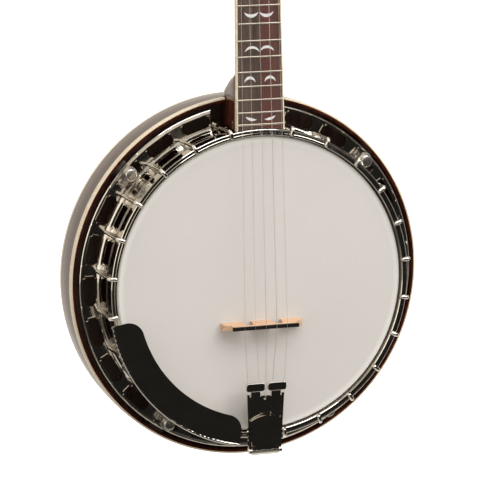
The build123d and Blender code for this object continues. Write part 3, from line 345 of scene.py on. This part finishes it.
def softbox(name, place, width, height, power, colour):
    """Rectangular lamp that points at the middle of the pot."""
    data = bpy.data.lights.new(name, "AREA")
    data.shape, data.size, data.size_y = "RECTANGLE", width, height
    data.energy, data.color = power, colour
    lamp = bpy.data.objects.new(name, data)
    lamp.location = place
    lamp.rotation_mode = "QUATERNION"
    lamp.rotation_quaternion = (-Vector(place)).to_track_quat("-Z", "Y")
    scene.collection.objects.link(lamp)


def studio():
    """Mirrored: pale behind, above and below, a beige panel ahead on the left, dark ahead on the right.

    Matt surfaces see plain soft light from above instead, and the camera sees white.
    """
    world = bpy.data.worlds.new("studio")
    world.use_nodes = True
    tree = world.node_tree
    tree.nodes.clear()

    def link(source, target):
        tree.links.new(source, target)

    def step(source, low, high, to_low, to_high):
        node = tree.nodes.new("ShaderNodeMapRange")
        node.interpolation_type = "SMOOTHSTEP"
        node.inputs["From Min"].default_value, node.inputs["From Max"].default_value = low, high
        node.inputs["To Min"].default_value, node.inputs["To Max"].default_value = to_low, to_high
        link(source, node.inputs["Value"])
        return node.outputs[0]

    def times(first, second):
        node = tree.nodes.new("ShaderNodeMath")
        node.operation = "MULTIPLY"
        link(first, node.inputs[0])
        link(second, node.inputs[1])
        return node.outputs[0]

    def background(colour, strength):
        node = tree.nodes.new("ShaderNodeBackground")
        node.inputs[0].default_value = (*colour, 1.0)
        if isinstance(strength, float):
            node.inputs[1].default_value = strength
        else:
            link(strength, node.inputs[1])
        return node.outputs[0]

    def add(first, second):
        node = tree.nodes.new("ShaderNodeAddShader")
        link(first, node.inputs[0])
        link(second, node.inputs[1])
        return node.outputs[0]

    coords = tree.nodes.new("ShaderNodeTexCoord")
    axes = tree.nodes.new("ShaderNodeSeparateXYZ")
    link(coords.outputs["Generated"], axes.inputs[0])
    x, y, z = axes.outputs
    behind = background((1.0, 0.92, 0.83), step(y, -0.1, 0.5, DARK_FRONT, BACKDROP))
    below = background((1.0, 0.93, 0.84), step(z, -0.8, -0.45, UNDERSIDE, 0.0))
    above = background((1.0, 0.96, 0.90), step(z, 0.55, 0.9, 0.0, OVERHEAD))
    left = times(step(x, -0.80, -0.60, 1.0, 0.0), step(z, -0.55, -0.25, 0.0, 1.0))
    side = background((1.0, 0.90, 0.78), times(left, step(y, 0.2, 0.5, LEFT_WALL, 0.0)))
    raised = times(step(z, 0.0, 0.09, 0.0, 1.0), step(x, 0.20, 0.34, 1.0, 0.0))
    panel = times(raised, step(y, -0.55, -0.25, 1.0, 0.0))
    ahead = background((1.0, 0.88, 0.74), times(panel, step(z, 0.55, 0.95, REFLECTOR, 0.1)))
    path = tree.nodes.new("ShaderNodeLightPath")
    mix = tree.nodes.new("ShaderNodeMixShader")
    out = tree.nodes.new("ShaderNodeOutputWorld")
    link(path.outputs["Is Camera Ray"], mix.inputs[0])
    mirrored = add(add(add(behind, below), add(above, side)), ahead)
    soft = background((1.0, 0.96, 0.91), step(z, -0.9, 0.9, SOFT_LOW, SOFT_HIGH))
    kind = tree.nodes.new("ShaderNodeMixShader")
    link(path.outputs["Is Glossy Ray"], kind.inputs[0])
    link(soft, kind.inputs[1])
    link(mirrored, kind.inputs[2])
    link(kind.outputs[0], mix.inputs[1])
    link(background((1, 1, 1), 1.0), mix.inputs[2])
    link(mix.outputs[0], out.inputs[0])
    scene.world = world
    softbox("left_box", (-2.6, -1.0, 0.6), 1.3, 2.2, 7.0, (1.0, 0.93, 0.84))
    softbox("right_box", (2.2, -1.9, 1.9), 1.5, 1.5, 48.0, (1.0, 0.98, 0.96))
    softbox("top_box", (0.2, -1.2, 2.4), 2.4, 1.4, 30.0, (1.0, 1.0, 1.0))


def photo_camera():
    """Camera a little left of the front and slightly above, aimed so the pot fills the frame."""
    azimuth, elevation = math.radians(CAMERA_AZIMUTH), math.radians(CAMERA_ELEVATION)
    level = math.cos(elevation)
    back = Vector((-math.sin(azimuth) * level, -math.cos(azimuth) * level, math.sin(elevation)))
    right = Vector((math.cos(azimuth), -math.sin(azimuth), 0))
    up = back.cross(right)
    head_low, head_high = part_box("drum_head")
    centre = Vector(((head_low[0] + head_high[0]) / 2, head_low[1], (head_low[2] + head_high[2]) / 2))
    data = bpy.data.cameras.new("photo_camera")
    data.lens, data.sensor_width = CAMERA_LENS, 36.0
    data.clip_start, data.clip_end = 0.05, 100.0
    camera = bpy.data.objects.new("photo_camera", data)
    camera.rotation_mode = "QUATERNION"
    camera.rotation_quaternion = Matrix((right, up, back)).transposed().to_quaternion()
    camera.location = centre + back * CAMERA_DISTANCE - right * AIM_LEFT + up * AIM_UP
    scene.collection.objects.link(camera)
    scene.camera = camera


white_floor()
studio()
photo_camera()
scene.view_settings.view_transform = "Standard"
